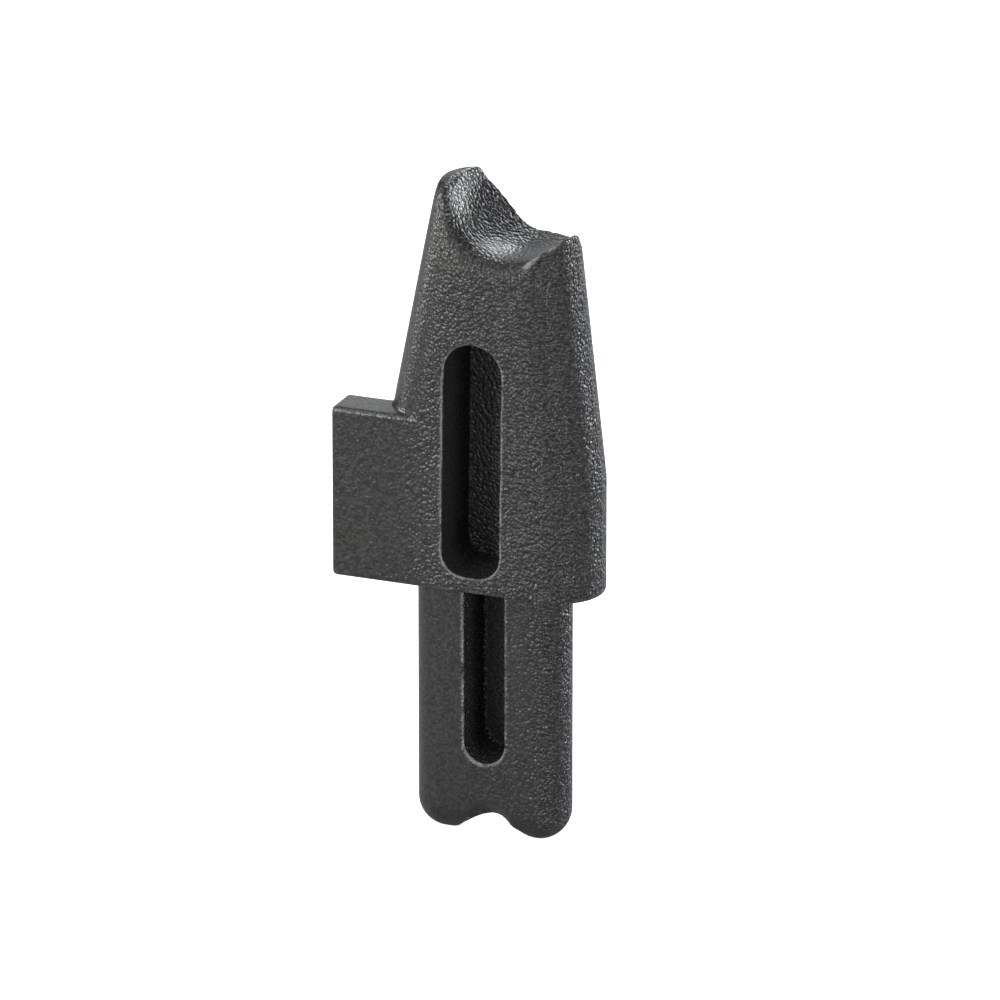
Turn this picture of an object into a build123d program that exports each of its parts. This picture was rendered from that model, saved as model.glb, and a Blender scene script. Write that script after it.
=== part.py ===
"""Magazine follower for 6 mm balls: one injection moulding, all sizes in millimetres.

The follower stands on its foot, +Z up towards the horn. Its open, cored side faces -Y
and its finger tab points to -X. The origin is in the middle of its width and thickness,
at the level of the foot.
"""
import os

from build123d import *

# Overall frame
overall_width = 13.7        # finger tab to far side of the head
half_width = overall_width / 2

# Head: a flat slab with full-round sides, straight in its guide length and tapered above it
head_thickness = 4.8
head_guide_width = 11.7
head_bottom = 13.43         # level of the underside, where the spring bears
head_shoulder = 19.45       # level where the taper starts
head_top = 34.7             # top of the horn
head_top_width = 6.95
head_top_shift = 0.63       # the top's middle, beyond the guide's middle
head_middle = half_width - head_guide_width / 2
head_face = head_thickness / 2
head_top_radius = 0.6       # round along the horn's outer top edge
edge_radius = 0.2           # round along the head's underside and the tab's free edges

# Finger tab, flush with the head's cored side
tab_thickness = 2.2
tab_top = 22.4
tab_overlap = 4.0           # how far the tab's block runs into the head

# Stem that carries the spring
stem_width = 8.1
stem_middle = head_middle + 0.05
stem_thickness = 3.2
stem_face = stem_thickness / 2
stem_overlap = 2.0          # how far the stem's block runs up into the head
foot_corner_radius = 1.6
stem_round = 1.55           # nearly half of the thickness, so the sides are full-round

# Notch in the foot
notch_middle = stem_middle + 0.25
notch_radius = 2.4
notch_depth = 1.15
notch_edge_radius = 1.5
countersink_radius = 1.35
countersink_depth = 1.3
countersink_level = 0.7

# Cored pocket in the head and groove in the stem, both down to one floor
core_floor = 1.15
pocket_middle = 0.7
pocket_lean = 0.8           # degrees, its top away from the tab
pocket_width = 3.08
pocket_bottom = 14.3
pocket_top = 26.55
pocket_top_radius = 1.53
pocket_bottom_radius = 1.15
groove_width = 2.2
groove_bottom = 4.1

# Ball seat. At the cored side it is an arc of the ball's radius; at the plain side it is
# a ramp, a smaller arc and a level run. Straight lines join the two outlines.
seat_margin = 0.05          # how far the cutter runs past each face
seat_height = 3.0           # how far it runs above the horn
ball_radius = 3.0
ball_x = 2.15
ball_z = 33.9
ball_exit_angle = 70        # how far the arc climbs past its lowest point
ramp_angle = 48.7
ramp_length = 2.4
ramp_foot_radius = 1.9
ramp_foot_x = 2.81
ramp_foot_level = 31.385
level_run = 2.8

with BuildPart() as head:
    for level, width, middle in (
        (head_bottom, head_guide_width, head_middle),
        (head_shoulder, head_guide_width, head_middle),
        (head_top, head_top_width, head_middle + head_top_shift),
    ):
        with BuildSketch(Plane.XY.offset(level)):
            with Locations((middle, 0)):
                SlotOverall(width, head_thickness)
    loft(ruled=True)
    top_loop = head.faces().sort_by(Axis.Z)[-1].edges()
    fillet(top_loop, head_top_radius)
    bottom_loop = head.faces().sort_by(Axis.Z)[0].edges()
    fillet(bottom_loop, edge_radius)

with BuildPart() as tab:
    with BuildSketch(Plane.XY.offset(head_bottom)):
        with Locations((-half_width, -head_face)):
            tab_reach = overall_width - head_guide_width + tab_overlap
            Rectangle(tab_reach, tab_thickness, align=(Align.MIN, Align.MIN))
    extrude(amount=tab_top - head_bottom)
    end_edges = tab.faces().sort_by(Axis.X)[0].edges()
    long_edges = tab.edges().filter_by(Axis.X)
    fillet(end_edges + long_edges, edge_radius)

with BuildPart() as stem:
    stem_height = head_bottom + stem_overlap
    with BuildSketch(Plane.XZ.offset(stem_face)):
        with Locations((stem_middle, stem_height / 2)):
            outline = Rectangle(stem_width, stem_height)
        fillet(outline.vertices().group_by(Axis.Y)[0], foot_corner_radius)
    extrude(amount=-stem_thickness)
    side_faces = stem.faces().filter_by(Axis.Y)
    top_edges = stem.faces().sort_by(Axis.Z)[-1].edges()
    fillet(side_faces.edges() - top_edges, stem_round)

    # Wide shallow notch through the foot, countersunk on the cored side
    with BuildSketch(Plane.XZ.offset(stem_thickness)) as notch:
        with Locations((notch_middle, notch_depth - notch_radius)):
            Circle(notch_radius)
        with Locations((notch_middle, -notch_radius)):
            Rectangle(4 * notch_radius, 2 * notch_radius)
        inner = notch.vertices().group_by(Axis.Y)[-1]
        fillet(inner, notch_edge_radius)
    extrude(amount=-2 * stem_thickness, mode=Mode.SUBTRACT)
    with BuildSketch(Plane.XZ.offset(stem_face)):
        with Locations((notch_middle, countersink_level)):
            Circle(countersink_radius)
    extrude(amount=-countersink_depth, taper=45, mode=Mode.SUBTRACT)

with BuildPart() as seat_cutter:
    cutter_top = head_top + seat_height
    cutter_end = half_width + seat_margin
    with BuildSketch(Plane.XZ.offset(head_face + seat_margin)):
        with BuildLine():
            centre = (ball_x, ball_z)
            wall = CenterArc(centre, ball_radius, 180, 90 - ramp_angle)
            slope = CenterArc(centre, ball_radius, 270 - ramp_angle, ramp_angle)
            climb = CenterArc(centre, ball_radius, 270, ball_exit_angle)
            Polyline(climb @ 1, (cutter_end, cutter_top), (ball_x - ball_radius, cutter_top), wall @ 0)
        make_face()
    with BuildSketch(Plane.XZ.offset(-head_face - seat_margin)):
        with BuildLine():
            centre = (ramp_foot_x, ramp_foot_level + ramp_foot_radius)
            slope = CenterArc(centre, ramp_foot_radius, 270 - ramp_angle, ramp_angle)
            ramp = PolarLine(slope @ 0, ramp_length, 180 - ramp_angle)
            floor = Line(slope @ 1, (ramp_foot_x + level_run, ramp_foot_level))
            Polyline(floor @ 1, (cutter_end, cutter_top), (ball_x - ball_radius - 1, cutter_top), ramp @ 1)
        make_face()
    loft(ruled=True)

with BuildPart() as follower:
    add(head)
    add(stem)
    add(tab)
    add(seat_cutter, mode=Mode.SUBTRACT)
    # Pocket
    with BuildSketch(Plane.XZ.offset(head_face)) as pocket:
        pocket_centre = (pocket_middle, (pocket_bottom + pocket_top) / 2, 0)
        with Locations(Location(pocket_centre, (0, 0, -pocket_lean))):
            Rectangle(pocket_width, pocket_top - pocket_bottom)
        fillet(pocket.vertices().sort_by(Axis.Y)[:2], pocket_bottom_radius)
        fillet(pocket.vertices().sort_by(Axis.Y)[-2:], pocket_top_radius)
    extrude(amount=-(head_face + core_floor), mode=Mode.SUBTRACT)
    # Groove
    with BuildSketch(Plane.XZ.offset(stem_face)):
        with Locations((stem_middle, groove_bottom + groove_width / 2)):
            Circle(groove_width / 2)
            Rectangle(groove_width, head_bottom - groove_bottom - groove_width / 2,
                      align=(Align.CENTER, Align.MIN))
    extrude(amount=-(stem_face + core_floor), mode=Mode.SUBTRACT)

follower.part.label = "follower"
os.makedirs("parts", exist_ok=True)
export_step(follower.part, "parts/follower.step")
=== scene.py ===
"""Looks for the magazine follower: one black injection moulding with a fine grain."""
import math

import bmesh
import bpy
import numpy as np
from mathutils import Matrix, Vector


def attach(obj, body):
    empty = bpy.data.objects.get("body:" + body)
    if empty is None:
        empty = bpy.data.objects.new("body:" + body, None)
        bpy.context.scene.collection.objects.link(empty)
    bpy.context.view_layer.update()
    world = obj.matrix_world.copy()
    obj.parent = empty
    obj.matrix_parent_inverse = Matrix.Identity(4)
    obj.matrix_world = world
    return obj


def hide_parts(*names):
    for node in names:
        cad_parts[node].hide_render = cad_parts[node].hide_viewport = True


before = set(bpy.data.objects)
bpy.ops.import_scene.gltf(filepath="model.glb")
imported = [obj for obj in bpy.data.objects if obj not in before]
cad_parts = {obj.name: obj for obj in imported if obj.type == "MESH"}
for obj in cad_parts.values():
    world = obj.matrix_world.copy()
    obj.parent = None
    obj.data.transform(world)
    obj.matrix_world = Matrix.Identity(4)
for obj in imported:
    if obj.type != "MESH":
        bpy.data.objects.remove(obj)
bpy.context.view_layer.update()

MM = 0.001
scene = bpy.context.scene

# The follower's own sizes, in millimetres. It stands on its foot, its cored side faces -Y
# and its tab points to -X. A pair is where a change along x or z starts and ends.
HALF_THICKNESS = 2.4        # of the head
HEAD_LEVELS = (13.2, 13.4)  # the stem is below, the head above
FOOT_LEVELS = (1.6, 2.6)
STEM_MIDDLE = 1.05
CORE_MIDDLE = 1.0           # of the pocket and the groove
CORE_FLOOR = 1.3            # just behind their floor
CORE_BOTTOM, CORE_TOP = 4.0, 27.0
BALL_X, BALL_Z, BALL_RADIUS = 2.15, 33.9, 3.0
SEAT_LEVELS = (30.2, 30.8)  # the seat is above
LUG_ACROSS = (4.0, 4.8)     # the lug is across from the horn
LUG_LEVELS = (31.0, 31.6)
TIP_LEVELS = (33.2, 34.2)   # the horn's tip

# What the moulding has beyond the CAD solid, in millimetres
VOXEL = 0.06                # of the remeshed moulding
SEAT_DISH = 0.2             # how deep the seat is dished across the thickness
LUG_TOP, LUG_CUT = 32.2, 0.8        # this share of what is above the level goes
HORN_TOP, HORN_CUT = 34.4, 0.5
PARTING_Y = -0.2            # level with the tab's back
PARTING_WIDTH = 0.05
PARTING_HEIGHT = 0.022
TARGET_FACES = 190_000


# ---------------------------------------------------------------- helpers
def apply_modifier(obj, kind, name, **settings):
    mod = obj.modifiers.new(name, kind)
    for key, value in settings.items():
        setattr(mod, key, value)
    bpy.context.view_layer.objects.active = obj
    bpy.ops.object.modifier_apply(modifier=mod.name)


def positions(obj):
    values = np.empty(len(obj.data.vertices) * 3)
    obj.data.vertices.foreach_get("co", values)
    return values.reshape(-1, 3)


def normals(obj):
    values = np.empty(len(obj.data.vertices) * 3)
    obj.data.vertex_normals.foreach_get("vector", values)
    return values.reshape(-1, 3)


def move_vertices(obj, places):
    obj.data.vertices.foreach_set("co", places.ravel())
    obj.data.update()


def store(obj, name, values):
    """Keeps one number per vertex, which the material reads by its name."""
    obj.data.attributes.new(name, "FLOAT", "POINT").data.foreach_set("value", values)


def ramp(values, start, end):
    """0 up to start, 1 from end, and smooth between them."""
    share = np.clip((values - start) / (end - start), 0, 1)
    return share * share * (3 - 2 * share)


def soften(obj, name, weights, iterations):
    """Smooths the mesh where weights say so: the more passes, the larger the edges' radius."""
    least = 0.004
    group = obj.vertex_groups.new(name=name)
    for index in np.flatnonzero(weights > least):
        group.add([int(index)], float(weights[index]), "REPLACE")
    apply_modifier(obj, "SMOOTH", name, factor=0.9, iterations=iterations, vertex_group=name)


# ---------------------------------------------------------------- moulding
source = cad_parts["follower"]
skin = bpy.data.objects.new("follower_skin", source.data.copy())
scene.collection.objects.link(skin)
bm = bmesh.new()
bm.from_mesh(skin.data)
bmesh.ops.remove_doubles(bm, verts=bm.verts, dist=0.001 * MM)
bm.to_mesh(skin.data)
bm.free()
apply_modifier(skin, "REMESH", "voxels", mode="VOXEL", voxel_size=VOXEL * MM, adaptivity=0.0)

# Every edge keeps a small radius, as the tool leaves it
apply_modifier(skin, "SMOOTH", "edges", factor=0.5, iterations=14)

# The seat is dished across the follower's thickness, for the ball
xyz = positions(skin)
normal = normals(skin)
x, y, z = xyz.T / MM
uphill = normal[:, 0] + normal[:, 2] * (1 - ramp(z, 31.5, 33.0))
facing_ball = ramp(uphill, 0.15, 0.5) * ramp(z, *SEAT_LEVELS) * (1 - ramp(x, 4.4, 5.0))
across = np.clip(1 - (y / HALF_THICKNESS) ** 2, 0, 1)
xyz -= normal * (facing_ball * across * SEAT_DISH * MM)[:, None]

# The lug is blunt, and the horn's top is flatter
lug = ramp(x, *LUG_ACROSS) * ramp(z, *LUG_LEVELS)
xyz[:, 2] -= lug * np.clip(z - LUG_TOP, 0, None) * LUG_CUT * MM
xyz[:, 2] -= np.clip(z - HORN_TOP, 0, None) * HORN_CUT * MM
move_vertices(skin, xyz)

# Some stretches are rounder: the foot, the horn's tip, the lug and, most of all, the seat's
# rim on the cored side, from the horn down to the seat's lowest point
x, y, z = positions(skin).T / MM
from_axis = np.hypot(x - BALL_X, z - BALL_Z)
from_seat = np.where(z < BALL_Z, np.abs(from_axis - BALL_RADIUS),
                     np.abs(x - BALL_X + BALL_RADIUS))
near_seat = np.exp(-(from_seat / 1.0) ** 2)
rim = near_seat * (1 - ramp(y, -1.2, 0.6)) * (1 - ramp(x, 2.8, 3.8))
ridge = ramp(x, 3.0, 3.8) * ramp(z, 30.4, 30.9) * (1 - ramp(y, -1.0, 0.5))
tip = ramp(z, *TIP_LEVELS) * (1 - 0.65 * ramp(y, -0.5, 1.5))
soften(skin, "foot", 1 - ramp(z, *FOOT_LEVELS), 6)
soften(skin, "rim", rim, 700)
soften(skin, "ridge", ridge, 12)
soften(skin, "tip", tip, 80)
soften(skin, "lug", lug, 70)

# Parting line: a faint ridge round the sides, on the head and on the stem's outside
xyz = positions(skin)
normal = normals(skin)
x, y, z = xyz.T / MM
seam = np.exp(-((y - PARTING_Y) / PARTING_WIDTH) ** 2)
sideways = ramp(np.abs(normal[:, 0]), 0.75, 0.95)
below_head = z < 13.0
outer_sides = (x > 5.0) | (x < -2.0) | below_head
inside_groove = (np.abs(x - STEM_MIDDLE) < 3.2) & below_head
seam *= sideways * outer_sides * ~inside_groove
xyz += normal * (seam * PARTING_HEIGHT * MM)[:, None]
move_vertices(skin, xyz)

triangles = sum(len(p.vertices) - 2 for p in skin.data.polygons)
apply_modifier(skin, "DECIMATE", "thin", ratio=min(1.0, TARGET_FACES / triangles))
skin.vertex_groups.clear()
skin.data.shade_smooth()

# ---------------------------------------------------------------- what the material reads
# How deep the grain is: it grows from the tab to the far side, is shallow on the stem's
# face and in the seat, and deep on the stem's far side and in the recesses
x, y, z = positions(skin).T / MM
normal = normals(skin)
on_side = ramp(normal[:, 0], 0.1, 0.6)
on_stem = 1 - ramp(z, *HEAD_LEVELS)
seat_side = 0.4 * on_side * (1 - ramp(x, 3.5, 4.5))
in_seat = ramp(z, *SEAT_LEVELS) * ramp(normal[:, 2] + seat_side, 0.2, 0.4)
in_seat *= 1 - ramp(-normal[:, 1], 0.1, 0.4)
in_core = (np.abs(x - CORE_MIDDLE) < 1.7) & (z > CORE_BOTTOM) & (z < CORE_TOP)
in_core &= (y > -2.1) & (y < CORE_FLOOR) & (normal[:, 1] > -0.99)
head_depth = 0.12 + 0.65 * ramp(x, -4.0, 2.8) + 0.6 * ramp(x, 2.2, 4.6)
stem_depth = 0.1 + 0.12 * ramp(x, -1.0, 3.0) + 0.3 * ramp(x, 3.2, 4.2) + 1.0 * on_side
depth = head_depth + on_stem * (stem_depth - head_depth)
depth += in_seat * (0.25 - depth)
depth += in_core * (1.2 - depth)
store(skin, "grain_depth", depth)

# Where the edges are paler: the convex edges, which stand out from a smoother copy, most of
# all the rims of the recesses and the ridge beside the seat.
# On the edges this is partly wear from handling and partly a painted highlight; on the ridge
# beside the seat it is a painted highlight line.
smoother = bpy.data.objects.new("smoother", skin.data.copy())
scene.collection.objects.link(smoother)
apply_modifier(smoother, "SMOOTH", "blur", factor=0.9, iterations=12)
proud = ((positions(skin) - positions(smoother)) * normal).sum(axis=1) / MM
bpy.data.objects.remove(smoother)
round_cores = (np.abs(x - CORE_MIDDLE) < 2.4) & (y < -1.0) & (z > 3.5) & (z < 27.5)
# The ridge beside the seat gets a painted highlight line in the same pale grey
seat_ridge_highlight = ramp(x, 3.1, 3.6) * (1 - ramp(x, 4.6, 5.2)) * ramp(z, 30.3, 30.7) * (y < -0.5)
wear_and_highlight = ramp(proud, 0.008, 0.03) * np.where(round_cores, 0.7, 0.2)
wear_and_highlight = np.maximum(wear_and_highlight, 0.8 * seat_ridge_highlight * ramp(proud, 0.005, 0.016))
store(skin, "wear_and_highlight", wear_and_highlight)

# ---------------------------------------------------------------- material
mat = bpy.data.materials.new("moulded_plastic")
mat.use_nodes = True
nodes, links = mat.node_tree.nodes, mat.node_tree.links
nodes.clear()
out = nodes.new("ShaderNodeOutputMaterial")
bsdf = nodes.new("ShaderNodeBsdfPrincipled")
links.new(bsdf.outputs["BSDF"], out.inputs["Surface"])
coords = nodes.new("ShaderNodeTexCoord")


def put(socket, value):
    """Sets a socket to a value, or links another node's output to it."""
    if isinstance(value, bpy.types.NodeSocket):
        links.new(value, socket)
    else:
        socket.default_value = value


def noise(scale, detail):
    texture = nodes.new("ShaderNodeTexNoise")
    put(texture.inputs["Vector"], coords.outputs["Object"])
    put(texture.inputs["Scale"], scale)
    put(texture.inputs["Detail"], detail)
    return texture.outputs["Fac"]


def cells(scale, smoothness):
    """How far each point is from the nearest of many scattered points."""
    texture = nodes.new("ShaderNodeTexVoronoi")
    texture.feature = "SMOOTH_F1"
    put(texture.inputs["Vector"], coords.outputs["Object"])
    put(texture.inputs["Scale"], scale)
    put(texture.inputs["Smoothness"], smoothness)
    return texture.outputs["Distance"]


def stored(name):
    attribute = nodes.new("ShaderNodeAttribute")
    attribute.attribute_name = name
    return attribute.outputs["Fac"]


def maths(operation, *values):
    result = nodes.new("ShaderNodeMath")
    result.operation = operation
    for socket, value in zip(result.inputs, values):
        put(socket, value)
    return result.outputs["Value"]


def remap(value, from_min, from_max, to_min=0.0, to_max=1.0):
    result = nodes.new("ShaderNodeMapRange")
    put(result.inputs["Value"], value)
    put(result.inputs["From Min"], from_min)
    put(result.inputs["From Max"], from_max)
    put(result.inputs["To Min"], to_min)
    put(result.inputs["To Max"], to_max)
    return result.outputs["Result"]


def mix(share, first, second):
    result = nodes.new("ShaderNodeMix")
    result.data_type = "RGBA"
    put(result.inputs["Factor"], share)
    put(result.inputs["A"], first)
    put(result.inputs["B"], second)
    return result.outputs["Result"]


RESIN_DARK = (0.018, 0.018, 0.018, 1)
RESIN_LIGHT = (0.028, 0.027, 0.026, 1)
# Pale grey of the edges: partly worn resin, partly a painted highlight
RUBBED_AND_HIGHLIT_GREY = (0.28, 0.28, 0.275, 1)
GRAIN_HEIGHT = 0.055 * MM

# Near-black resin, a little uneven, and paler in patches along the edges: partly rubbed by
# handling, partly a painted edge highlight
resin = mix(noise(350, 3), RESIN_DARK, RESIN_LIGHT)
rub_and_highlight = maths("MULTIPLY", stored("wear_and_highlight"), remap(noise(1500, 2), 0.3, 0.55))
put(bsdf.inputs["Base Color"], mix(rub_and_highlight, resin, RUBBED_AND_HIGHLIT_GREY))
put(bsdf.inputs["Roughness"], 0.3)

# Speckle: grains that shine more than their neighbours
put(bsdf.inputs["Specular IOR Level"], remap(noise(6000, 1), 0.35, 0.65, 0.3, 0.75))

# Grain: small domes of uneven height
distance = cells(6300, 0.3)
domes = maths("MULTIPLY", distance, distance)
height = maths("MULTIPLY_ADD", domes, -2.0, noise(5900, 2))
bump = nodes.new("ShaderNodeBump")
put(bump.inputs["Strength"], 1.0)
put(bump.inputs["Distance"], maths("MULTIPLY", stored("grain_depth"), GRAIN_HEIGHT))
put(bump.inputs["Height"], height)
put(bsdf.inputs["Normal"], bump.outputs["Normal"])

skin.data.materials.clear()
skin.data.materials.append(mat)
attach(skin, "root")
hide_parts("follower")


# ---------------------------------------------------------------- floor
def plane(name, level, colour, glow):
    bpy.ops.mesh.primitive_plane_add(size=2.0, location=(0, 0, level))
    sheet = bpy.context.object
    sheet.name = name
    pale = bpy.data.materials.new(name)
    pale.use_nodes = True
    pale_bsdf = pale.node_tree.nodes["Principled BSDF"]
    pale_bsdf.inputs["Base Color"].default_value = (colour, colour, colour, 1)
    pale_bsdf.inputs["Roughness"].default_value = 0.9
    pale_bsdf.inputs["Emission Color"].default_value = (1, 1, 1, 1)
    pale_bsdf.inputs["Emission Strength"].default_value = glow
    sheet.data.materials.append(pale)
    return sheet


# The floor that shows glows a little, so that it stays near white; a plain card under it
# throws the lamps' light back at the follower
floor = plane("floor", 0, 0.95, 0.8)
floor.visible_diffuse = False
floor.visible_glossy = False
floor.visible_shadow = False
card = plane("bounce_card", -0.2 * MM, 0.4, 0)
card.visible_camera = False

# ---------------------------------------------------------------- light
# The world is only a white background: the soft panels light the follower
world = bpy.data.worlds.new("studio")
scene.world = world
world.use_nodes = True
world.node_tree.nodes["Background"].inputs["Color"].default_value = (1, 1, 1, 1)
world.node_tree.nodes["Background"].inputs["Strength"].default_value = 1.0
world.cycles_visibility.diffuse = False
world.cycles_visibility.glossy = False
scene.view_settings.view_transform = "Standard"

LIGHT_DISTANCE = 0.4
LIT_POINT = Vector((0, 0, 18 * MM))
WARM = (1.0, 0.99, 0.97)
COOL = (0.93, 0.97, 1.0)
WHITE = (1, 1, 1)


def direction(azimuth, elevation):
    """Towards the viewer or lamp at these angles, in degrees; azimuth 0 is the cored side."""
    a, e = math.radians(azimuth), math.radians(elevation)
    return Vector((math.sin(a) * math.cos(e), -math.cos(a) * math.cos(e), math.sin(e)))


def soft_light(name, azimuth, elevation, size, power, colour):
    back = direction(azimuth, elevation)
    data = bpy.data.lights.new(name, "AREA")
    data.shape = "SQUARE"
    data.size = size
    data.energy = power
    data.color = colour
    lamp = bpy.data.objects.new(name, data)
    lamp.location = LIT_POINT + back * LIGHT_DISTANCE
    lamp.rotation_mode = "QUATERNION"
    lamp.rotation_quaternion = (-back).to_track_quat("-Z", "Y")
    scene.collection.objects.link(lamp)


soft_light("front_left", -30, 6, 0.14, 0.85, WARM)
soft_light("upper_left", -30, 30, 0.14, 0.25, WHITE)
soft_light("far_left", -85, 5, 0.14, 0.7, WARM)
soft_light("high_left", -96, 35, 0.14, 0.18, WHITE)
soft_light("front", 8, 12, 0.14, 0.2, WHITE)
soft_light("right", 60, 5, 0.14, 0.7, WHITE)
soft_light("far_right", 112, 4, 0.10, 0.45, WHITE)
soft_light("overhead", -20, 62, 0.3, 0.5, WHITE)
soft_light("behind", 176, 27, 0.2, 0.9, COOL)
soft_light("behind_left", 204, 22, 0.25, 0.2, COOL)
soft_light("above_behind", 180, 70, 0.3, 0.3, COOL)
soft_light("behind_right", 154, 5, 0.10, 0.6, COOL)

# ---------------------------------------------------------------- camera
AZIMUTH = 22
ELEVATION = 19.9
DISTANCE = 0.5
VIEW_WIDTH = 0.05           # what the frame spans at the object
look_from = direction(AZIMUTH, ELEVATION)
right = Vector((math.cos(math.radians(AZIMUTH)), math.sin(math.radians(AZIMUTH)), 0))
up = look_from.cross(right)
aim = Vector((0, 0, 17.45 * MM)) + right * 1.2 * MM + up * 0.1 * MM
lens = bpy.data.cameras.new("camera")
lens.lens = lens.sensor_width * DISTANCE / VIEW_WIDTH
lens.clip_start = 0.01
lens.clip_end = 20
camera = bpy.data.objects.new("camera", lens)
camera.location = aim + look_from * DISTANCE
camera.rotation_mode = "QUATERNION"
camera.rotation_quaternion = (-look_from).to_track_quat("-Z", "Y")
scene.collection.objects.link(camera)
scene.camera = camera
